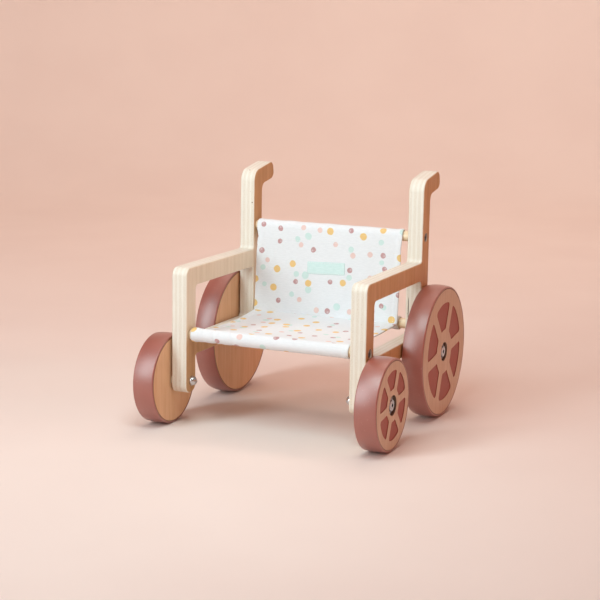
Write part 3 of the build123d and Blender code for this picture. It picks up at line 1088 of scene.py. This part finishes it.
hem_inset = hem_width - 1.0 * mm
row_inset, label_inset = 4 * mm, 1.1 * mm
plain, hemmed = cloth_thickness / 2, cloth_thickness * 0.75
on_label = plain + label_thickness + 0.1 * mm
for row in (top_roll_end - 0.6 * mm, front_start - 1.2 * mm):
    sew((row_inset, row), (sling_width - row_inset, row), plain)
for side in (hem_inset, sling_width - hem_inset):
    sew((side, top_roll_end + 2 * mm), (side, fold - 2 * mm), hemmed)
    sew((side, seat_start + 2 * mm), (side, front_start - 3 * mm), hemmed)
half_u, half_v = label_width / 2 - label_inset, label_height / 2 - label_inset
outline = ((-half_u, half_v), (half_u, half_v), (half_u, -half_v), (-half_u, -half_v))
corners = [on_strip(*corner) for corner in outline]
for corner, following in zip(corners, corners[1:] + corners[:1]):
    sew(corner, following, on_label)

thread_mesh = smooth_mesh("sling_stitches", [tuple(point) for point in stitch_points], stitch_faces)
stitches = put("sling_stitches", thread_mesh)
print("stitches:", len(stitch_points) // (len(bead) * thread_sides))

# %% [markdown]
# ## Dotted cotton
# The print is confetti: round dots of mustard, plum and peach, with paler mint ones under them. A
# Voronoi pattern scatters one centre in each cell, and the distance from the centre makes the dot.
# Each centre also has random values of its own, which choose the dot's colour and size. Some dots
# have a lighter bite out of them. The weave is two sets of threads that cross, as a fine bump.

# %% Group: plain weave
plain_weave, take, give = start_group(
    "plain_weave", {"Flat Place": "Vector", "Pitch": "Float"}, ("Height", "Slubs")
)
u, v, _ = split(take["Flat Place"])
threads = calc("DIVIDE", pi, take["Pitch"])
warp, weft = [calc("SINE", times(way, threads)) for way in (u, v)]
uneven = noise(stretch(take["Flat Place"], (180.0, 700.0, 1.0)), 1.0)
feed(give["Height"], calc("MULTIPLY_ADD", uneven, 0.8, times(warp, weft)))
feed(give["Slubs"], ramp(uneven, 0.3, 0.75))
print("group:", plain_weave.name)


# %% Group: confetti dots
def plane_length(across, along):
    """How long a step across and along is."""
    squares = [calc("POWER", step, 2.0) for step in (across, along)]
    return calc("SQRT", calc("ADD", *squares))


confetti, take, give = start_group(
    "confetti_dots",
    {"Flat Place": "Vector", "Spacing": "Float", "Radius": "Float", "Large Share": "Float"},
    ("Dot", "Bite", "Pick"),
)
flat = take["Flat Place"]
cell_inputs = {"Vector": flat, "Scale": calc("DIVIDE", 1.0, take["Spacing"]), "Randomness": 0.74}
cells = add("TexVoronoi", cell_inputs, voronoi_dimensions="2D").outputs
pick, size, side = add("SeparateColor", {0: cells["Color"]}).outputs
is_large = ramp(pick, take["Large Share"], calc("SUBTRACT", take["Large Share"], 0.001))
growth = calc("MULTIPLY_ADD", is_large, 0.30, calc("MULTIPLY_ADD", size, 0.18, 0.91))
dot_radius = times(take["Radius"], growth)
offset_u, offset_v, _ = split(place_calc("SUBTRACT", flat, cells["Position"]))
wobble = calc("MULTIPLY_ADD", noise(flat, 260.0, 1.0), 0.9 * mm, -0.45 * mm)
reach = calc("ADD", plane_length(offset_u, offset_v), wobble)
edge = calc("SUBTRACT", reach, dot_radius)
feed(give["Dot"], ramp(edge, 0.3 * mm, -0.3 * mm))
bite_turn = times(side, 2 * pi)
bite_shift = times(dot_radius, 0.45)
bite_steps = [
    calc("SUBTRACT", offset, times(calc(wave, bite_turn), bite_shift))
    for offset, wave in ((offset_u, "COSINE"), (offset_v, "SINE"))
]
bite_edge = calc("MULTIPLY_ADD", dot_radius, -0.36, plane_length(*bite_steps))
feed(give["Bite"], ramp(bite_edge, 0.5 * mm, -0.5 * mm))
feed(give["Pick"], pick)
print("group:", confetti.name)

# %% Finish: dotted cotton
pale_shift = (3.171, 1.633, 0.0)
plum_from, peach_from = 0.41, 0.75


def make_dotted_cotton(name, print_strength):
    """White cotton with confetti dots. The reverse has a weaker print."""
    material, shader = start_material(name, Specular_IOR_Level=0.2, Sheen_Weight=0.1)
    flat = add("UVMap", uv_map="flat_cloth").outputs["UV"]
    weave = place_group(plain_weave, Flat_Place=flat, Pitch=0.55 * mm)
    cotton = mix(weave["Slubs"], tint(227, 228, 230), tint(232, 233, 235))

    pale_place = place_calc("ADD", flat, pale_shift)
    pale = place_group(confetti, Flat_Place=pale_place, Spacing=39 * mm, Radius=3.3 * mm, Large_Share=0.3)
    colour = tinge(pale["Dot"], 0.85 * print_strength, cotton, tint(196, 222, 215))

    bright = place_group(
        confetti, Flat_Place=flat, Spacing=22.5 * mm, Radius=3.25 * mm, Large_Share=plum_from
    )
    is_plum, is_peach = [ramp(bright["Pick"], start, start + 0.001) for start in (plum_from, peach_from)]
    ink = mix(is_plum, tint(232, 190, 112), tint(188, 140, 139))
    ink = mix(is_peach, ink, tint(229, 196, 187))
    bitten = times(bright["Bite"], calc("SUBTRACT", is_plum, is_peach))
    ink = tinge(bitten, 0.35, ink, cotton)
    worn_print = calc("MULTIPLY_ADD", weave["Slubs"], -0.12, 1.0)
    inked = times(times(bright["Dot"], worn_print), print_strength)
    dress(shader, mix(inked, colour, ink), weave["Slubs"], dullness=0.88, span=-0.08)
    roughen(shader, weave["Height"], 0.06 * mm, 0.4)
    return material


for name, strength in (("dotted_cotton", 0.95), ("cotton_reverse", 0.22)):
    sling.data.materials.append(make_dotted_cotton(name, strength))
print("cloth finishes:", [m.name for m in sling.data.materials])

# %% [markdown]
# The label is woven from mint threads, with the same weave group at a coarser pitch, and the
# stitches are white twisted thread: fine slanting lines round each bead, painted darker in the
# grooves between strands, as shade.


# %% Finish: label and thread
def make_label_weave():
    """Mint woven patch."""
    material, shader = start_material("mint_weave", Specular_IOR_Level=0.25, Sheen_Weight=0.08)
    flat = add("UVMap", uv_map="flat_cloth").outputs["UV"]
    weave = place_group(plain_weave, Flat_Place=flat, Pitch=0.7 * mm)
    mint = mix(weave["Slubs"], tint(205, 228, 224), tint(214, 234, 231))
    dress(shader, mint, weave["Slubs"], dullness=0.82, span=-0.1)
    roughen(shader, weave["Height"], 0.07 * mm, 0.7)
    return material


def make_thread():
    """White twisted sewing thread."""
    material, shader = start_material("white_thread", Specular_IOR_Level=0.3)
    place, _ = own_place()
    x, y, z = split(place)
    slanting = calc("ADD", calc("ADD", x, y), z)
    twist = calc("SINE", times(slanting, 2 * pi / (0.35 * mm)))
    strands = calc("MULTIPLY_ADD", twist, 0.5, 0.5)
    # The twist's grooves are painted darker, as shade between the strands.
    colour = mix(strands, tint(222, 222, 220), tint(242, 242, 241))
    dress(shader, colour, strands, dullness=0.6, span=0.1)
    roughen(shader, strands, 0.03 * mm, 0.5)
    return material


label.data.materials.append(make_label_weave())
thread_mesh.materials.append(make_thread())
print("sewn finishes:", label.data.materials[0].name, "and", thread_mesh.materials[0].name)

# %% [markdown]
# ## Joining the cloth to the chair
# The cloth, its label and its stitches ride on the chair's body. The cloth and the label stand for
# the plain solids, which are hidden.

# %% Join the cloth to the chair
for piece, slot in ((sling, "sling_cloth"), (label, "label_cloth"), (stitches, "sling_cloth")):
    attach(piece, "chair")
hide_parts("sling")
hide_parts("sling_label")
